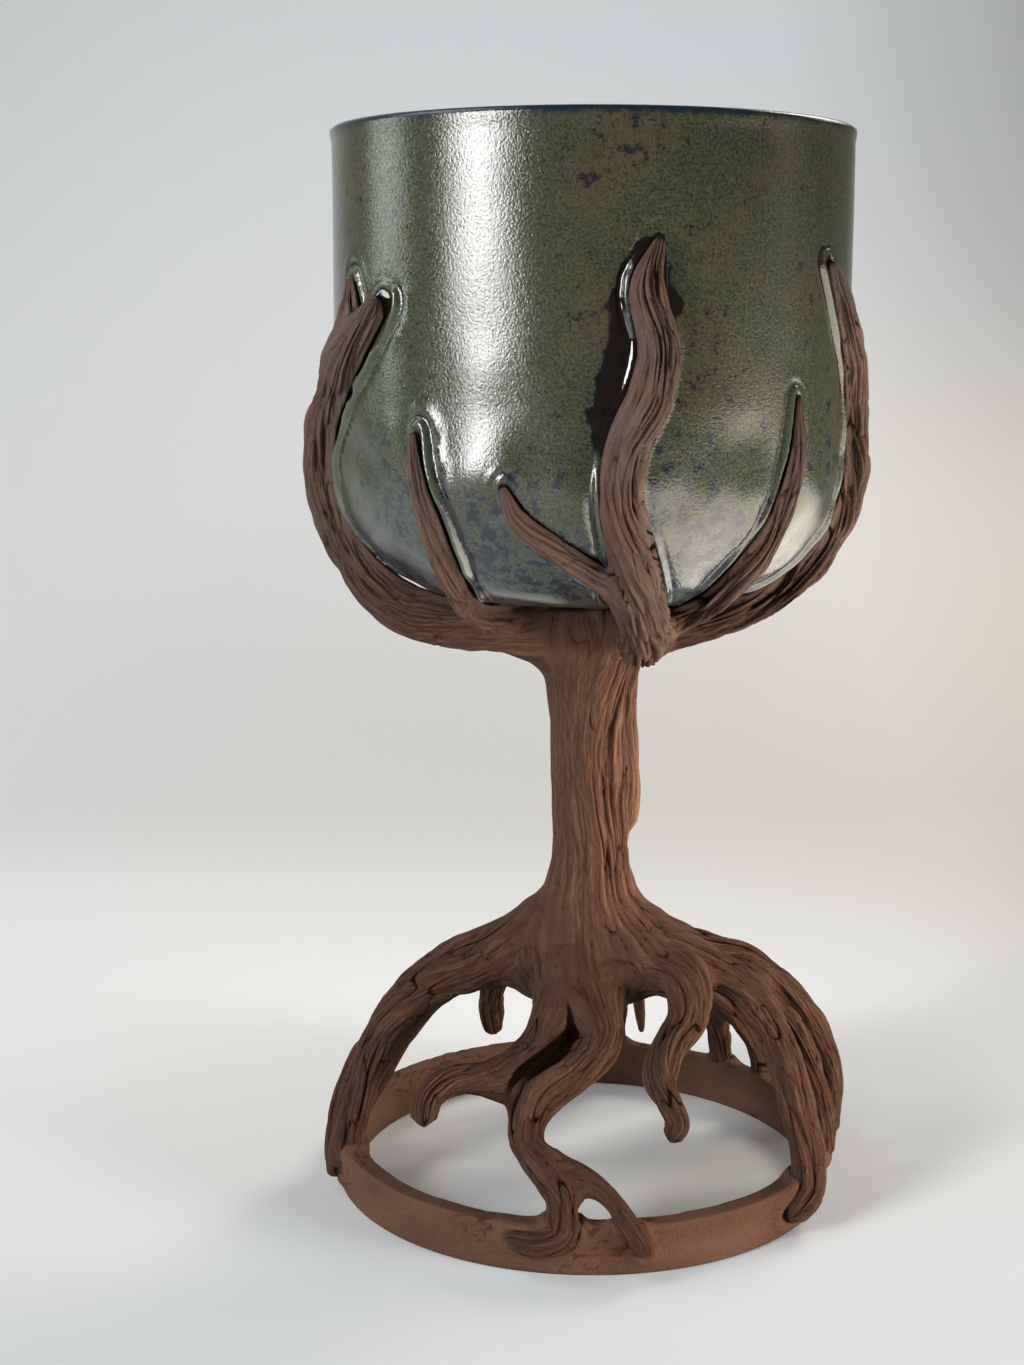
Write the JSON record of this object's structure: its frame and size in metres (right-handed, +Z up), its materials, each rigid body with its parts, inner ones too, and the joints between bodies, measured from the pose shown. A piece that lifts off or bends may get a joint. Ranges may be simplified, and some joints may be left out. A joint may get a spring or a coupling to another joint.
{
  "type": "ceramic chalice",
  "caption": "Hand-built ceramic chalice: a glazed cup held in the branches of a clay tree, whose trunk is the stem and whose roots spread to a foot ring.",
  "frame": {"origin": "centre of the foot ring's underside, on the table", "axes": "+Z up along the stem, -Y towards the picture's viewer, +X to the viewer's right"},
  "size_m": [0.1049, 0.1064, 0.1999],
  "materials": {
    "bare_clay": "matt fired red-brown stoneware, combed like bark",
    "branch_clay": "fired brown stoneware, darker and faintly shiny where the glaze fumed it",
    "glaze": "semi-gloss olive-green glaze, speckled with blue-black and brown"
  },
  "bodies": {
    "root": {"foot_ring": "bare_clay", "trunk": "bare_clay", "cup_bowl": "glaze", "left_root": "bare_clay", "left_root_outer_strand": "bare_clay", "left_root_rear_strand": "bare_clay", "front_left_root": "bare_clay", "front_root": "bare_clay", "front_root_fork": "bare_clay", "front_right_root": "bare_clay", "right_root": "bare_clay", "right_root_web_strand": "bare_clay", "right_rear_root": "bare_clay", "back_root": "bare_clay", "back_hanging_rootlet": "bare_clay", "back_right_root": "bare_clay", "back_right_root_fork": "bare_clay", "back_left_root": "bare_clay", "left_branch": "branch_clay", "left_branch_fork": "branch_clay", "left_twig": "branch_clay", "front_branch": "branch_clay", "front_twig": "branch_clay", "right_branch": "branch_clay", "right_twig": "branch_clay", "back_branch": "branch_clay", "back_branch_fork": "branch_clay", "back_left_twig": "branch_clay", "back_right_twig": "branch_clay"}
  },
  "joints": []
}
